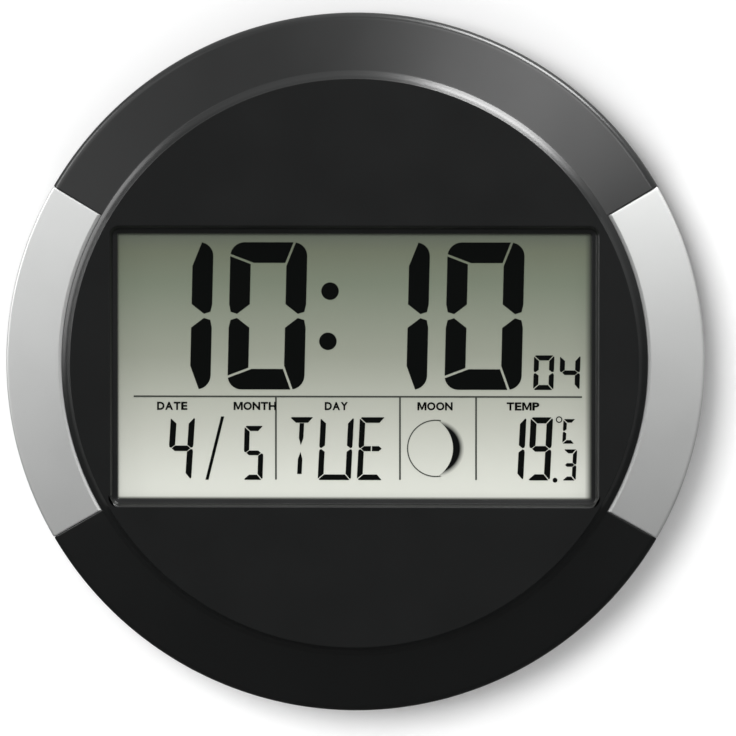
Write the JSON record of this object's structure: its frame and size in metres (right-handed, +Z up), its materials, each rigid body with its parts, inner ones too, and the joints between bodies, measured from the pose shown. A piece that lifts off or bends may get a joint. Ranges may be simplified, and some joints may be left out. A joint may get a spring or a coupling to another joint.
{
  "type": "digital wall clock",
  "caption": "Round radio-controlled wall clock with a wide recessed liquid-crystal display, silver side trims, a keyhole hanger, rear push keys and a hinged battery door.",
  "frame": {"origin": "middle of the flat back face, on the wall plane", "axes": "+X to the right as seen from the front, +Y into the wall, +Z up; the front faces -Y"},
  "size_m": [0.2446, 0.027, 0.2446],
  "materials": {
    "case_black": "satin moulded plastic with a very fine grain",
    "trim_silver": "silver paint over moulded plastic, satin",
    "foam": "black closed-cell foam",
    "display_film": "pale grey-green polarising film, semi-gloss",
    "display_glass": "clear",
    "reflector": "diffusing reflector film",
    "frame_white": "plain moulded",
    "elastomer": "layered silicone strip",
    "circuit_board": "green solder mask",
    "potting": "black epoxy",
    "capacitor_sleeve": "dark shrink sleeve over an aluminium can",
    "plated_steel": "nickel plated",
    "switch_plastic": "plain moulded",
    "ferrite": "sintered, dull",
    "copper_winding": "enamelled copper wire",
    "lead_grey": "insulated lead",
    "lead_red": "insulated lead",
    "lead_black": "insulated lead",
    "cell_sleeve": "plain sleeve with a bare steel end",
    "back_black": "textured moulded plastic",
    "key_grey": "plain moulded, slightly lighter than the cover",
    "screw_steel": "zinc plated"
  },
  "bodies": {
    "case": {"front_case": "case_black", "side_trim_left": "trim_silver", "side_trim_right": "trim_silver", "lcd_gasket": "foam", "lcd_front_polariser": "display_film", "lcd_front_glass": "display_glass", "lcd_rear_glass": "display_glass", "lcd_reflector": "reflector", "lcd_frame": "frame_white", "zebra_strip_upper": "elastomer", "zebra_strip_lower": "elastomer", "main_board": "circuit_board", "controller_chip": "potting", "filter_capacitor": "capacitor_sleeve", "clock_crystal": "plated_steel", "mode_switch": "switch_plastic", "plus_switch": "switch_plastic", "minus_switch": "switch_plastic", "wave_switch": "switch_plastic", "reset_switch": "switch_plastic", "temperature_sensor": "potting", "ferrite_rod": "ferrite", "coil_bobbin": "frame_white", "antenna_coil": "copper_winding", "receiver_board": "circuit_board", "receiver_chip": "potting", "receiver_crystal": "plated_steel", "antenna_lead": "copper_winding", "receiver_lead": "lead_grey", "battery_spring_upper": "plated_steel", "battery_spring_lower": "plated_steel", "battery_upper": "cell_sleeve", "battery_lower": "cell_sleeve", "contact_bridge": "plated_steel", "contact_positive": "plated_steel", "contact_negative": "plated_steel", "battery_lead_red": "lead_red", "battery_lead_black": "lead_black", "back_cover": "back_black", "case_screw_1": "screw_steel", "case_screw_2": "screw_steel", "case_screw_3": "screw_steel", "case_screw_4": "screw_steel", "case_screw_5": "screw_steel", "case_screw_6": "screw_steel", "board_screw_1": "screw_steel", "board_screw_2": "screw_steel", "board_screw_3": "screw_steel", "board_screw_4": "screw_steel", "board_screw_5": "screw_steel", "board_screw_6": "screw_steel"},
    "battery_door": {"battery_door": "back_black"},
    "mode_button": {"mode_button": "key_grey"},
    "plus_button": {"plus_button": "key_grey"},
    "minus_button": {"minus_button": "key_grey"},
    "wave_button": {"wave_button": "key_grey"},
    "reset_button": {"reset_button": "key_grey"}
  },
  "joints": [
    {"name": "battery_door_tilt", "type": "hinge", "parent": "case", "child": "battery_door", "pos_m": [0, -0.0004, -0.0626], "axis": [1, 0, 0], "range_deg": [0, 75]},
    {"name": "mode_press", "type": "slide", "parent": "case", "child": "mode_button", "axis": [0, -1, 0], "range_m": [0, 0.0006], "stiffness_N_per_m": 400},
    {"name": "plus_press", "type": "slide", "parent": "case", "child": "plus_button", "axis": [0, -1, 0], "range_m": [0, 0.0006], "stiffness_N_per_m": 400},
    {"name": "minus_press", "type": "slide", "parent": "case", "child": "minus_button", "axis": [0, -1, 0], "range_m": [0, 0.0006], "stiffness_N_per_m": 400},
    {"name": "wave_press", "type": "slide", "parent": "case", "child": "wave_button", "axis": [0, -1, 0], "range_m": [0, 0.0006], "stiffness_N_per_m": 400},
    {"name": "reset_press", "type": "slide", "parent": "case", "child": "reset_button", "axis": [0, -1, 0], "range_m": [0, 0.0006], "stiffness_N_per_m": 400}
  ]
}
